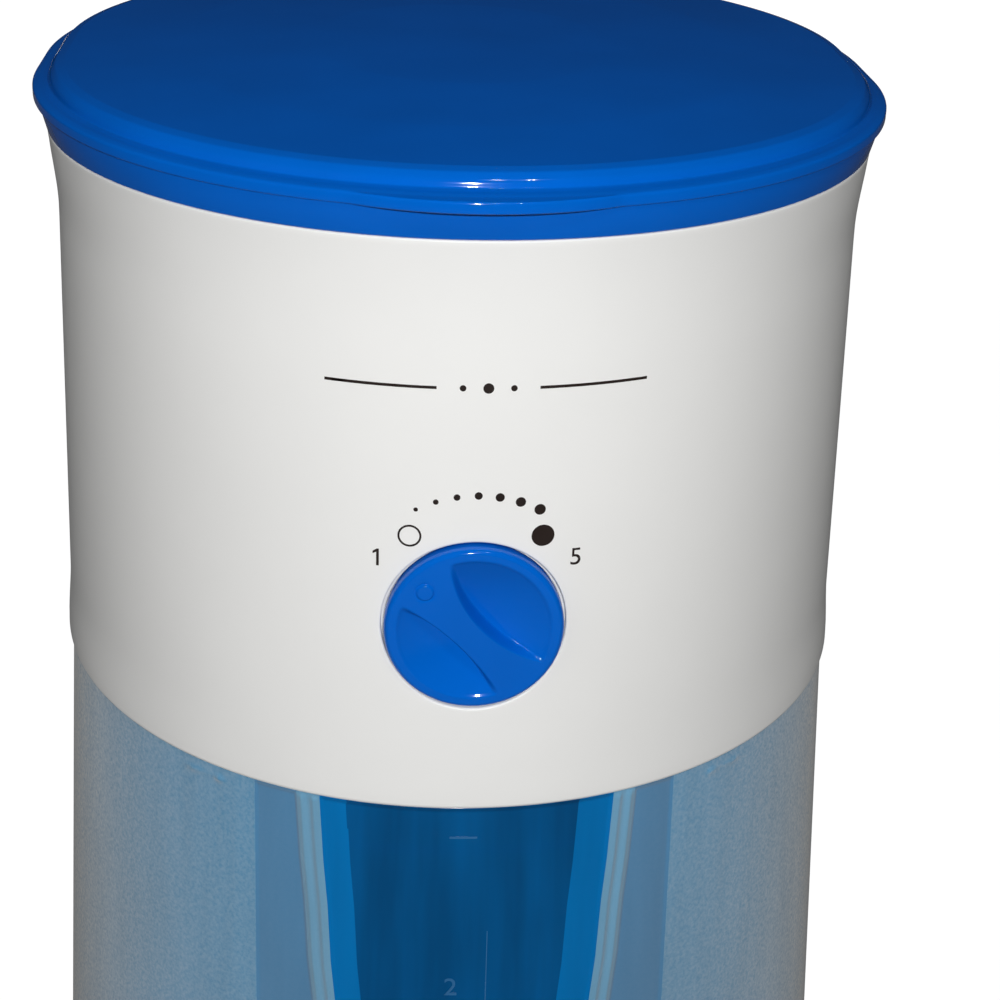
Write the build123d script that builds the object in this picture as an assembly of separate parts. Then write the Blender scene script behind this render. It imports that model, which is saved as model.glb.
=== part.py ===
from build123d import *
import os
import math
from math import sin, cos, radians

os.makedirs("parts", exist_ok=True)

# ---------------------------------------------------------------- dimensions
# Countertop iced tea maker.  Millimetres, +Z up, front faces -Y, origin on the
# surface it stands on, in the middle of its footprint.
HALF = 7.5            # half of the straight between the plan's two semicircles
Z_FOOT = 3.0          # height of the rubber feet
Z_BASE = 24.0         # top of the base, where the pitcher stands
Z_SKIRT = 152.0       # lower edge of the white brew housing
Z_SHOULDER = 256.0    # where the housing starts to flare
Z_HTOP = 271.0        # top edge of the housing
Z_COLLAR = 276.2      # top of the blue collar
Z_LID = 276.5         # underside of the lid's lip
R_BASE = 98.8         # plan radius of the base
R_SKIRT = 90.0        # plan radius of the housing at its lower edge
R_SHOULDER = 86.5
R_HTOP = 88.2
R_COLLAR = 88.3
R_LIP = 89.7          # plan radius of the lid's lip
R_PIT_BOT = 97.2      # plan radius of the pitcher at its foot
R_PIT_TOP = 89.1      # and at its rim
Z_PIT0 = 24.2
Z_PIT1 = 151.0
PIT_BACK = 38.0       # flat back wall of the pitcher
PIT_WALL = 2.6
TOWER_FRONT = 42.0    # front face of the back tower
TOWER_SPLIT = 62.0    # parting plane between tower shell and rear cover
WALL = 2.4
CH_X = 18.0           # half width of the channel that takes the pitcher's handle
CH_BACK = 78.0
Z_FLOOR = 160.0       # underside of the housing's floor
R_TANK = 81.5
Z_TANK0 = 162.6
Z_TANK1 = 270.2
BASKET_Y = -42.5
BASKET_R = 37.0
KNOB_Z = 193.2
KNOB_R = 17.45
KNOB_FACE = -97.4      # front face of the dial's knob
HINGE_Y = 101.0
HINGE_Z = 275.8
BTN_Z = 13.5
OUT_X, OUT_Y = -40.0, 55.0      # tank outlet
RISE_X, RISE_Y = 40.0, 55.0     # riser tube
HEAD_R = 14.0                   # shower arm's spreader

P = {}


# ------------------------------------------------------------------- helpers
def slot(r, z):
    return Pos(0, 0, z) * Rot(0, 0, 90) * SlotCenterToCenter(2 * HALF, 2 * r)


def stack(*rz):
    """Solid through rounded-oblong sections, given as (radius, height)."""
    out = None
    for (r0, z0), (r1, z1) in zip(rz[:-1], rz[1:]):
        if abs(r0 - r1) < 1e-6:
            s = extrude(slot(r0, z0), z1 - z0)
        else:
            s = loft([slot(r0, z0), slot(r1, z1)], ruled=True)
        out = s if out is None else out + s
    return out


def box(x0, x1, y0, y1, z0, z1):
    return Pos((x0 + x1) / 2, (y0 + y1) / 2, (z0 + z1) / 2) * Box(x1 - x0, y1 - y0, z1 - z0)


def cyl(r, x, y, z0, z1):
    return Pos(x, y, (z0 + z1) / 2) * Cylinder(r, z1 - z0)


def cyl_y(r, x, y0, y1, z):
    return Pos(x, (y0 + y1) / 2, z) * Rot(90, 0, 0) * Cylinder(r, y1 - y0)


def cyl_x(r, x0, x1, y, z):
    return Pos((x0 + x1) / 2, y, z) * Rot(0, 90, 0) * Cylinder(r, x1 - x0)


def tube_path(pts, radii, r):
    path = FilletPolyline(*pts, radius=radii)
    d = path % 0
    sec = Plane(origin=path @ 0, z_dir=d) * Circle(r)
    return sweep(sec, path=path)


def r_pit(z):
    return R_PIT_BOT + (R_PIT_TOP - R_PIT_BOT) * (z - Z_PIT0) / (Z_PIT1 - Z_PIT0)


BIG = 400
back_of = lambda y: box(-BIG, BIG, y, BIG, -BIG, BIG)
front_of = lambda y: box(-BIG, BIG, -BIG, y, -BIG, BIG)

# ----------------------------------------------------------------- the base
base = stack((R_BASE - 1.2, Z_FOOT), (R_BASE, Z_FOOT + 2), (R_BASE, Z_BASE - 2.2), (R_BASE - 0.7, Z_BASE - 0.7), (R_BASE - 2.2, Z_BASE))
base -= stack((R_BASE - 3.8, Z_FOOT - 1), (R_BASE - 3.8, Z_FOOT + 2.6))
base -= stack((R_BASE - 2.8, Z_FOOT + 2.0), (R_BASE - 2.8, Z_BASE - 2.8))
# four bosses for the bottom cover's screws, on the base's underside
boss_xy = [(-62, -45), (62, -45), (-62, 50), (62, 50)]
for x, y in boss_xy:
    base += cyl(5.0, x, y, Z_FOOT + 2.7, Z_BASE - 2.0)
# button hole, lens hole and cord gland hole
base -= cyl_y(6.9, 0, -110, -98, BTN_Z)
base -= cyl_y(2.0, 17, -108, -96, BTN_Z)
base -= cyl_y(5.0, 30, 90, 110, 13.0)
# tower foot holes: feed-through for the wiring
base -= box(-12, 12, 80.5, 92, Z_BASE - 4, Z_BASE + 1)
P["base_shell"] = base

cover = stack((R_BASE - 4.1, Z_FOOT), (R_BASE - 4.1, Z_FOOT + 2.4))
for i in range(9):
    cover -= box(-36 + 8 * i, -32 + 8 * i, -14, 14, 0, 10)
P["base_cover"] = cover

foot_xy = [(-68, -38), (68, -38), (-68, 42), (68, 42)]
feet = [cyl(8.0, x, y, 0.0, Z_FOOT) + cyl(3.0, x, y, Z_FOOT, Z_FOOT + 3.6) for x, y in foot_xy]
for x, y in foot_xy:
    P["base_cover"] -= cyl(3.0, x, y, 0, 10)
P["rubber_feet"] = Compound(children=feet)

screws = []
for x, y in boss_xy:
    s = cyl(3.2, x, y, Z_FOOT + 0.4, Z_FOOT + 1.6) + cyl(1.5, x, y, Z_FOOT + 1.6, Z_FOOT + 14)
    screws.append(s)
    P["base_cover"] -= cyl(3.2, x, y, 0, Z_FOOT + 1.6) + cyl(1.5, x, y, Z_FOOT, Z_FOOT + 14)
    P["base_shell"] -= cyl(1.5, x, y, Z_FOOT, Z_FOOT + 14)
P["base_screws"] = Compound(children=screws)

# cord gland: only the inlet, at the back of the base
gland = cyl_y(5.0, 30, 98.0, 104.0, 13.0) + cyl_y(7.0, 30, 103.0, 107.2, 13.0)
gland -= cyl_y(3.4, 30, 97, 109, 13.0)
P["cord_gland"] = gland - (P["base_shell"] & box(20, 40, 90, 110, 0, 30))

# power button, its spring, switch and lens
btn = cyl_y(6.5, 0, -107.0, -101.2, BTN_Z)
btn = fillet(btn.edges().filter_by(GeomType.CIRCLE).sort_by(Axis.Y)[0], 1.0)
btn += cyl_y(7.6, 0, -101.8, -100.4, BTN_Z)
btn += cyl_y(2.2, 0, -100.4, -93.5, BTN_Z)
P["power_button"] = btn
spr = cyl_y(4.2, 0, -100.2, -95.2, BTN_Z) - cyl_y(3.2, 0, -101, -95, BTN_Z)
P["button_spring"] = spr
sw = box(-9, 9, -95.0, -80, BTN_Z - 6, BTN_Z + 6) - cyl_y(2.4, 0, -96, -86, BTN_Z)
P["switch_body"] = sw
P["switch_bracket"] = box(-14, -9.2, -94, -82, Z_FOOT + 2.6, Z_BASE - 3.0) + box(9.2, 14, -94, -82, Z_FOOT + 2.6, Z_BASE - 3.0) + box(-14, 14, -80, -78, Z_FOOT + 2.6, Z_BASE - 3.0) + box(-14, -9.2, -82, -79, Z_FOOT + 2.6, Z_BASE - 3.0) + box(9.2, 14, -82, -79, Z_FOOT + 2.6, Z_BASE - 3.0)
lens = cyl_y(2.0, 17, -104.3, -97.0, BTN_Z) + cyl_y(3.2, 17, -99.2, -97.0, BTN_Z)
P["indicator_lens"] = lens
P["terminal_block"] = box(18, 42, 70, 88, Z_FOOT + 2.5, Z_FOOT + 15)

# ---------------------------------------------------------------- the tower
tw_out = stack((R_PIT_BOT, Z_BASE), (R_PIT_TOP + 0.3, Z_SKIRT - 0.3)) & back_of(TOWER_FRONT)
tw_in = stack((R_PIT_BOT - WALL, Z_BASE - 1), (R_PIT_TOP + 0.3 - WALL, Z_SKIRT - 2.7)) & back_of(TOWER_FRONT + WALL)
spig_out = stack((86.9, Z_SKIRT - 1.0), (86.9, Z_FLOOR)) & back_of(TOWER_FRONT + 4)
spig_in = stack((86.9 - 2.2, Z_SKIRT - 5), (86.9 - 2.2, Z_FLOOR + 1)) & back_of(TOWER_FRONT + 6.2)
channel_o = box(-CH_X - WALL, CH_X + WALL, TOWER_FRONT, CH_BACK + WALL, Z_BASE, Z_SKIRT - 0.3)
channel_i = box(-CH_X, CH_X, TOWER_FRONT - 5, CH_BACK, Z_BASE - 1, Z_SKIRT - 2.7)
tower = (tw_out - tw_in) + channel_o - channel_i
tower = tower - spig_in + (spig_out - spig_in - box(-CH_X - WALL, CH_X + WALL, 0, CH_BACK, 0, Z_SKIRT - 2.7))
rear = tower & back_of(TOWER_SPLIT + 0.15)
rear -= box(-CH_X - WALL - 0.2, CH_X + WALL + 0.2, 0, CH_BACK + WALL + 0.2, 0, 400)
ch_keep = box(-CH_X - WALL, CH_X + WALL, TOWER_SPLIT - 1, CH_BACK + WALL, Z_BASE, Z_SKIRT - 0.3)
tower_front = (tower & front_of(TOWER_SPLIT)) + (tower & ch_keep & stack((84.0, 0), (84.0, 300)))
# cooling slots in the rear cover
for i in range(6):
    rear -= box(-22, 22, 80, 120, 44 + 8 * i, 47.2 + 8 * i)
P["tower_shell"] = tower_front
P["rear_cover"] = rear

# ------------------------------------------------------------- heating parts
heater = box(-28, 28, 80.8, 90.6, 45, 115)
heater = fillet(heater.edges().filter_by(Axis.Y), 3.0)
inlet = cyl(3.2, -24, 85.7, 37, 46)
outlet = cyl(3.2, 24, 85.7, 114, 123)
P["heater_block"] = heater + inlet + outlet
P["heater_bracket"] = box(-14, 14, 80.6, 91.6, 115.1, 116.7) + box(-14, 14, 80.6, 91.6, 43.3, 44.9) + box(-6, 6, 90.8, 92.0, 43.3, 116.7)
P["thermostat"] = cyl_y(7.5, -17, 90.7, 94.0, 95)
P["thermal_fuse"] = cyl_x(2.0, 9, 25, 92.8, 70)
P["feed_hose"] = cyl(4.6, OUT_X, OUT_Y, 122.2, 157.5) - cyl(3.12, OUT_X, OUT_Y, 100, 170)
P["check_valve"] = cyl(6.5, OUT_X, OUT_Y, 104, 120) + cyl(3.1, OUT_X, OUT_Y, 96, 130) - cyl(1.6, OUT_X, OUT_Y, 90, 140)
low_pts = [(OUT_X, OUT_Y, 102.5), (OUT_X, OUT_Y, 30), (-24, 85.7, 30), (-24, 85.7, 44)]
low_in = [(OUT_X, OUT_Y, 103.5), (OUT_X, OUT_Y, 30), (-24, 85.7, 30), (-24, 85.7, 45)]
P["inlet_hose"] = tube_path(low_pts, [12, 11], 4.6) - tube_path(low_in, [12, 11], 3.2)
hot_pts = [(24, 85.7, 116), (24, 85.7, 133), (RISE_X, RISE_Y, 140), (RISE_X, RISE_Y, 150)]
hot_in = [(24, 85.7, 115), (24, 85.7, 133), (RISE_X, RISE_Y, 140), (RISE_X, RISE_Y, 151)]
P["outlet_hose"] = tube_path(hot_pts, [9, 9], 4.6) - tube_path(hot_in, [9, 9], 3.2)

# ---------------------------------------------------------- the brew housing
h_out = stack((R_SKIRT - 0.5, Z_SKIRT), (R_SKIRT, Z_SKIRT + 0.8), (R_SHOULDER, Z_SHOULDER), (R_SHOULDER + 0.1, 262), (R_SHOULDER + 0.45, 266), (R_SHOULDER + 1.0, 269), (R_HTOP, Z_HTOP))
h_in = stack((R_SKIRT - WALL - 0.2, Z_SKIRT - 1), (R_SHOULDER - WALL, Z_SHOULDER), (R_SHOULDER - WALL, Z_HTOP + 1))
h_floor = stack((R_SKIRT - WALL + 1, Z_FLOOR), (R_SKIRT - WALL + 1, Z_FLOOR + 2.4)) & stack((R_SKIRT - 1, Z_SKIRT), (R_SHOULDER - 1, Z_SHOULDER))
housing = h_out - h_in + h_floor
# round dial recess in the front wall
housing += (cyl_y(20.4, 0, -95.7, -90.6, KNOB_Z) - cyl_y(17.95, 0, -100, -92.6, KNOB_Z)) & back_of(-95.6)
housing -= cyl_y(17.95, 0, -100, -92.6, KNOB_Z)
housing += cyl_y(20.4, 0, -92.6, -90.6, KNOB_Z)
housing -= cyl_y(3.05, 0, -110, -80, KNOB_Z)
housing -= cyl(12.0, 0, BASKET_Y, 150, 168)
housing -= cyl(6.2, OUT_X, OUT_Y, 150, 168)
housing -= cyl(6.2, RISE_X, RISE_Y, 150, 168)
P["upper_housing"] = housing

# screws from the tower's flange up into the housing's floor
fl = []
for sx in (-1, 1):
    fl.append(box(sx * 57 - 8, sx * 57 + 8, 49.0, 60.0, Z_FLOOR - 4.0, Z_FLOOR))
P["tower_shell"] = P["tower_shell"] + fl[0] + fl[1] + box(-57, -50, 48.15, 49.1, Z_FLOOR - 4, Z_FLOOR) + box(50, 57, 48.15, 49.1, Z_FLOOR - 4, Z_FLOOR)
ts = []
for sx in (-1, 1):
    s = cyl(3.2, sx * 57, 54.5, Z_FLOOR - 5.4, Z_FLOOR - 4.0) + cyl(1.5, sx * 57, 54.5, Z_FLOOR - 4.0, Z_FLOOR + 2.3)
    ts.append(s)
    P["tower_shell"] -= s
    P["upper_housing"] -= s
P["tower_screws"] = Compound(children=ts)

# --------------------------------------------------- water tank and tea well
tank = stack((R_TANK - 1.5, Z_TANK0), (R_TANK, Z_TANK0 + 2), (R_TANK, Z_TANK1))
hollow = stack((R_TANK - 2, Z_TANK0 + 2.4), (R_TANK - 2, Z_TANK1 + 1))
divider = box(-90, 90, -2, 0.2, Z_TANK0 + 1, 259.0) & stack((R_TANK - 1, Z_TANK0 + 1), (R_TANK - 1, Z_TANK1))
tank = tank - hollow + divider
tank += cyl(24, 0, BASKET_Y, Z_TANK0 + 2, 172) - cyl(20, 0, BASKET_Y, Z_TANK0, 174)
tank -= cyl(8.0, 0, BASKET_Y, 150, 168)
tank += cyl(6.0, OUT_X, OUT_Y, 158, Z_TANK0 + 1) + cyl(3.1, OUT_X, OUT_Y, 150, 159)
tank -= cyl(2.2, OUT_X, OUT_Y, 148, 170)
tank += cyl(7.6, RISE_X, RISE_Y, Z_TANK0 + 1, Z_TANK0 + 8)
tank -= cyl(4.6, RISE_X, RISE_Y, 150, 185)
tank -= cyl_y(3.1, 0, -95, -80, KNOB_Z)
P["water_tank"] = tank
P["tank_screen"] = cyl(8.0, OUT_X, OUT_Y, Z_TANK0 + 2.4, Z_TANK0 + 8.0) - cyl(6.8, OUT_X, OUT_Y, 150, Z_TANK0 + 6.8)
for k in range(12):
    a = radians(30 * k)
    P["tank_screen"] -= Pos(OUT_X, OUT_Y, Z_TANK0 + 4.6) * Rot(0, 0, 30 * k) * Pos(7, 0, 0) * Box(6, 1.4, 2.6)

riser = cyl(4.6, RISE_X, RISE_Y, 150.5 + 1.0, 261.9)
riser += cyl(3.2, RISE_X, RISE_Y, 147.2, 152)
riser += cyl(7.0, RISE_X, RISE_Y, 252.6, 254.9)
riser -= cyl(2.6, RISE_X, RISE_Y, 130, 270)
P["riser_tube"] = riser

# shower arm: turns on the riser's top, so that its spreader swings clear of
# the basket's mouth
arm = cyl(6.6, RISE_X, RISE_Y, 255, 268)
L = math.hypot(RISE_X, RISE_Y - BASKET_Y)
ang = math.degrees(math.atan2(BASKET_Y - RISE_Y, -RISE_X))
arm += Pos(RISE_X / 2, (RISE_Y + BASKET_Y) / 2, 264.5) * Rot(0, 0, ang) * Box(L, 11, 7)
arm += cyl(HEAD_R, 0, BASKET_Y, 261, 268)
arm -= cyl(4.65, RISE_X, RISE_Y, 250, 262)
arm -= cyl(2.6, RISE_X, RISE_Y, 261, 265)
arm -= Pos(RISE_X / 2, (RISE_Y + BASKET_Y) / 2, 264.5) * Rot(0, 0, ang) * Box(L - 4, 7, 4)
arm -= cyl(HEAD_R - 2.0, 0, BASKET_Y, 262.4, 266.6)
for k in range(8):
    a = radians(45 * k)
    arm -= cyl(1.1, 9.0 * cos(a), BASKET_Y + 9.0 * sin(a), 255, 263)
arm -= cyl(1.1, 0, BASKET_Y, 255, 263)
P["shower_arm"] = arm

basket = Pos(0, BASKET_Y, 215) * Cone(BASKET_R - 5, BASKET_R, 86)
basket -= Pos(0, BASKET_Y, 215 + 2) * Cone(BASKET_R - 6.8, BASKET_R - 1.8, 86)
basket += cyl(40, 0, BASKET_Y, 255.6, 258) - cyl(BASKET_R - 1.9, 0, BASKET_Y, 250, 260)
basket += cyl(6.0, 0, BASKET_Y, 158.5, 172.5)
basket -= cyl(3.6, 0, BASKET_Y, 150, 176)
P["brew_basket"] = basket
scr = cyl(29.5, 0, BASKET_Y, 176.0, 177.0)
for k in range(12):
    a = radians(30 * k)
    scr -= cyl(1.6, 22 * cos(a), BASKET_Y + 22 * sin(a), 170, 180)
    if k % 2 == 0:
        scr -= cyl(1.6, 12 * cos(a), BASKET_Y + 12 * sin(a), 170, 180)
scr += cyl(3.0, 0, BASKET_Y, 177.0, 186.0)
P["tea_screen"] = scr
P["basket_valve_seat"] = cyl(3.5, 0, BASKET_Y, 159.5, 166.0) - cyl(2.0, 0, BASKET_Y, 150, 170)

# ------------------------------------------------------------- strength dial
kn = cyl_y(KNOB_R, 0, KNOB_FACE, -93.0, KNOB_Z)
kn = chamfer(kn.edges().filter_by(GeomType.CIRCLE).sort_by(Axis.Y)[0], 1.0)
# two finger scoops, each bounded by an arc, leave a waisted grip flush with
# the rim
for gx, gz, gr in ((20.0, 17.3, 25.3), (-42.4, -41.4, 54.9)):
    kn -= cyl_y(gr, gx, -110, KNOB_FACE + 3.2, KNOB_Z + gz) & cyl_y(14.6, 0, -110, KNOB_FACE + 3.2, KNOB_Z)
# a hollow stem runs in the housing's bore and takes the shaft's spigot
kn += cyl_y(3.0, 0, -93.5, -88.2, KNOB_Z)
kn -= cyl_y(1.5, 0, -93.4, -80, KNOB_Z)
P["strength_knob"] = kn
P["knob_shaft"] = cyl_y(3.0, 0, -88.2, -83.2, KNOB_Z) + cyl_y(1.5, 0, -93.4, -88.0, KNOB_Z)
sh = cyl_y(13.0, 0, -85.3, -83.6, KNOB_Z) - cyl_y(3.0, 0, -90, -80, KNOB_Z)
sh -= Pos(0, -84.5, KNOB_Z) * Rot(0, 30, 0) * Pos(8.5, 0, 0) * Box(5, 5, 3.4)
P["flow_shutter"] = sh
P["shaft_seal"] = cyl_y(6.0, 0, -90.5, -89.1, KNOB_Z) - cyl_y(3.06, 0, -92, -88, KNOB_Z)
P["detent_spring"] = box(-16, -4.6, -90.4, -90.0, KNOB_Z + 8, KNOB_Z + 13) + box(-16, -15.4, -90.4, -89.2, KNOB_Z + 8, KNOB_Z + 13)

# ------------------------------------------------------------------- collar
col = stack((R_COLLAR, Z_HTOP), (R_COLLAR + 1.1, Z_COLLAR))
col -= box(-18.2, 18.2, 95.4, 120, 255, 300)   # room for the lid's knuckle
col -= stack((85.0, Z_HTOP + 3.0), (85.0, Z_COLLAR + 1))
col += stack((83.9, 261), (83.9, Z_HTOP + 1))
col -= stack((82.0, 259), (82.0, Z_HTOP))
col -= stack((79.0, 258), (79.0, 280))
for sx in (-1, 1):
    ear = box(sx * 21 - 3, sx * 21 + 3, 92.5, HINGE_Y, HINGE_Z - 4.3, HINGE_Z + 0.3) + cyl_x(4.3, sx * 21 - 3, sx * 21 + 3, HINGE_Y, HINGE_Z)
    col += ear - stack((85.0, 250), (85.0, 300))
col -= cyl_x(1.5, -30, 30, HINGE_Y, HINGE_Z)
P["collar_ring"] = col
P["hinge_pin"] = cyl_x(1.5, -24.0, 24.0, HINGE_Y, HINGE_Z)

# ---------------------------------------------------------------------- lid
lid = stack((R_LIP, Z_LID), (R_LIP, Z_LID + 2.4), (R_LIP - 0.8, Z_LID + 2.9), (86.9, Z_LID + 3.0), (86.2, Z_LID + 3.8), (85.6, Z_LID + 5.0), (84.4, Z_LID + 5.7), (82.0, Z_LID + 6.0), (60.0, Z_LID + 7.0), (30.0, Z_LID + 7.7), (8.0, Z_LID + 7.9))
lid -= stack((86.0, Z_LID - 1), (86.0, Z_LID + 1.2), (82.4, Z_LID + 3.7), (60.0, Z_LID + 4.7), (30.0, Z_LID + 5.4), (8.0, Z_LID + 5.6))
lid += stack((84.6, Z_LID - 2.2), (84.6, Z_LID + 2.6)) - stack((83.0, Z_LID - 4), (83.0, Z_LID + 4))
tab = (cyl(53.6, 0, -HALF - R_LIP - 2.4 + 53.6, Z_LID, Z_LID + 2.2) - stack((88.0, 200), (88.0, 400))) & box(-24.5, 24.5, -120, -60, 0, 400)
lid += tab
knuckle = cyl_x(4.0, -17.7, 17.7, HINGE_Y, HINGE_Z) + (box(-17.7, 17.7, 90, HINGE_Y, Z_LID, Z_LID + 2.4) - stack((86.0, 200), (86.0, 400)))
lid += knuckle
lid -= cyl_x(1.56, -30, 30, HINGE_Y, HINGE_Z)
P["lid"] = lid

# ------------------------------------------------------------------ pitcher
def pit_body(off, z0, z1, back):
    s = stack((r_pit(z0) - off, z0), (r_pit(z1) - off, z1)) & front_of(back)
    e = s.edges().filter_by(lambda e: abs(e.tangent_at(0.5).Z) > 0.9 and abs(e.center().Y - back) < 1.0 and abs(e.center().X) > 40)
    return fillet(e, 12.0 - off) if len(e) == 2 else s


pitcher = pit_body(0.0, Z_PIT0, Z_PIT1, PIT_BACK)
inner = pit_body(PIT_WALL, Z_PIT0 + 3.0, Z_PIT1 + 2, PIT_BACK - PIT_WALL)
ledge = pit_body(1.0, 136.0, 138.6, PIT_BACK - 1.0) - pit_body(PIT_WALL + 2.0, 130, 142, PIT_BACK - PIT_WALL - 2.0)
pitcher = pitcher - inner + ledge
P["pitcher"] = pitcher

plid = pit_body(PIT_WALL + 0.25, 147.6, 150.4, PIT_BACK - PIT_WALL - 0.25)
plid += pit_body(PIT_WALL + 0.25, 138.8, 147.7, PIT_BACK - PIT_WALL - 0.25) - pit_body(PIT_WALL + 1.9, 130, 147.6, PIT_BACK - PIT_WALL - 1.9)
plid += Pos(0, BASKET_Y, 144.0) * Cone(12, 18, 7.4) - Pos(0, BASKET_Y, 144.0) * Cone(10.4, 16.4, 7.6)
plid -= Pos(0, BASKET_Y, 149.0) * Cone(15.9, 17.6, 3.2)
P["pitcher_lid"] = plid

hd = box(-9, 9, PIT_BACK + 0.0, 71, 48, 138)
hd = fillet(hd.edges().filter_by(Axis.X).sort_by(Axis.Y)[-2:], 14)
hd -= fillet(box(-20, 20, PIT_BACK + 3.0, 60.0, 58, 128).edges().filter_by(Axis.X), 8)
hd = hd & box(-9, 9, PIT_BACK, 80, 40, 150)
P["pitcher_handle"] = hd

if __name__ == "__main__":
    for name, s in P.items():
        export_step(s, "parts/%s.step" % name)
    print(len(P), "parts")
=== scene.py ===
import bpy, bmesh, math
import numpy as np
from mathutils import Vector, Matrix, geometry


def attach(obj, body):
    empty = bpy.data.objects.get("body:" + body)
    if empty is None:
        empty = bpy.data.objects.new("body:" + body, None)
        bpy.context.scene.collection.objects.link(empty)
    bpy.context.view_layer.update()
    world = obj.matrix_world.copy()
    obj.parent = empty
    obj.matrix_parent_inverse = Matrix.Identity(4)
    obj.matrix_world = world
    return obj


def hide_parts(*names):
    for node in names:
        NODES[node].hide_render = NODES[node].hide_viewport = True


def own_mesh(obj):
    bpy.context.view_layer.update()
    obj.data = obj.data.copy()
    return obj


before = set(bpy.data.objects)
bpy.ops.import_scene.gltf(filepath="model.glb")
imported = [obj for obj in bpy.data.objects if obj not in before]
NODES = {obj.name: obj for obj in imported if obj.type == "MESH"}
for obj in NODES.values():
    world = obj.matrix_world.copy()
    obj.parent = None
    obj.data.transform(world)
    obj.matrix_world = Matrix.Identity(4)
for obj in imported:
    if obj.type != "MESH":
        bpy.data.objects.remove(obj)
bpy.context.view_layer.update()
MM = 0.001

# ------------------------------------------------------------ shared sizes, mm
H = 7.5                                   # half straight of the rounded-oblong plan
Z_HTOP, Z_COLLAR, Z_LID = 271.0, 276.2, 276.5
R_LIP, KNOB_Z, KNOB_R, KNOB_FACE = 89.7, 193.2, 17.45, -97.4
HINGE_Y, HINGE_Z = 101.0, 275.8
PIT_Z0, PIT_Z1, PIT_BACK = 24.2, 151.0, 38.0


def r_house(z):
    z = np.asarray(z, float)
    return 90 - 3.5 * (z - 152.8) / 103.2 + 1.3 * np.clip((z - 248) / 22, 0, None) ** 2.4


def r_pit(z):
    return 97.2 + (89.1 - 97.2) * (np.asarray(z, float) - 24.2) / (151.0 - 24.2)


def smooth(t):
    t = np.clip(t, 0, 1)
    return t * t * (3 - 2 * t)


# ------------------------------------------------------------------ mesh tools
def make(name, verts, faces, angle=32.0, mats=()):
    me = bpy.data.meshes.new(name)
    me.from_pydata((np.asarray(verts, float) * MM).tolist(), [], [list(map(int, f)) for f in faces])
    me.validate()
    bm = bmesh.new(); bm.from_mesh(me)
    bmesh.ops.remove_doubles(bm, verts=bm.verts, dist=1e-7)
    bmesh.ops.recalc_face_normals(bm, faces=bm.faces)
    bm.to_mesh(me); bm.free()
    me.shade_smooth()
    if angle:
        me.set_sharp_from_angle(angle=math.radians(angle))
    ob = bpy.data.objects.new(name, me)
    bpy.context.scene.collection.objects.link(ob)
    for m in mats:
        me.materials.append(m)
    return ob


def fillet(points, n=5):
    """(r, z[, radius]) corners -> a polyline with rounded corners."""
    pts = [np.array(p[:2], float) for p in points]
    rad = [p[2] if len(p) > 2 else 0 for p in points]
    out = [pts[0]]
    for i in range(1, len(pts) - 1):
        a, b, c, f = pts[i - 1], pts[i], pts[i + 1], rad[i]
        u, v = a - b, c - b
        lu, lv = np.linalg.norm(u), np.linalg.norm(v)
        u, v = u / lu, v / lv
        cosw = float(np.clip(u @ v, -1, 1))
        if f <= 0 or cosw < -0.9999:
            out.append(b); continue
        half = math.acos(cosw) / 2
        t = min(f / math.tan(half), 0.49 * lu, 0.49 * lv)
        f = t * math.tan(half)
        cen = b + (u + v) / np.linalg.norm(u + v) * (f / math.sin(half))
        p0, p1 = b + u * t, b + v * t
        a0 = math.atan2(*(p0 - cen)[::-1]); a1 = math.atan2(*(p1 - cen)[::-1])
        d = (a1 - a0 + math.pi) % (2 * math.pi) - math.pi
        for k in range(n + 1):
            w = a0 + d * k / n
            out.append(cen + f * np.array([math.cos(w), math.sin(w)]))
    out.append(pts[-1])
    return np.array(out)


def dense(poly, step):
    """Adds points so that no stretch of the profile is longer than step."""
    out = [poly[0]]
    for a, b in zip(poly[:-1], poly[1:]):
        k = max(1, int(math.ceil(np.linalg.norm(b - a) / step)))
        out += [a + (b - a) * j / k for j in range(1, k + 1)]
    return np.array(out)


def columns(n=360):
    """Angles round the plan with the straight's y offset; 0 and pi come twice."""
    up = np.linspace(0, math.pi, n // 2 + 1)
    lo = np.linspace(math.pi, 2 * math.pi, n // 2 + 1)
    return np.r_[up, lo], np.r_[np.full(len(up), H), np.full(len(lo), -H)]


def grid_faces(rows, cols, wrap_cols=True, wrap_rows=False, off=0):
    f = []
    for j in range(rows if wrap_rows else rows - 1):
        j2 = (j + 1) % rows
        for i in range(cols if wrap_cols else cols - 1):
            i2 = (i + 1) % cols
            f.append((off + j * cols + i, off + j * cols + i2, off + j2 * cols + i2, off + j2 * cols + i))
    return f


def sweep(prof, n=360, closed=False, warp=None):
    """Rounded-oblong sweep of an (r, z) profile: vertices, faces."""
    a, yo = columns(n)
    r = np.repeat(prof[:, 0][:, None], len(a), 1)
    z = np.repeat(prof[:, 1][:, None], len(a), 1)
    if warp:
        r, z = warp(r, z, a[None, :] + 0 * r, yo[None, :] + 0 * r)
    x = r * np.cos(a)[None, :]
    y = yo[None, :] + r * np.sin(a)[None, :]
    v = np.stack([x, y, z], -1).reshape(-1, 3)
    rows, cols = r.shape
    f = grid_faces(rows, cols, True, closed)
    if not closed:
        f.append(tuple(range(cols))); f.append(tuple(range((rows - 1) * cols, rows * cols)))
    return v, f


def merge(*parts):
    v, f, o = [], [], 0
    for pv, pf in parts:
        v.append(np.asarray(pv, float)); f += [tuple(i + o for i in q) for q in pf]; o += len(pv)
    return np.concatenate(v), f


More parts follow.
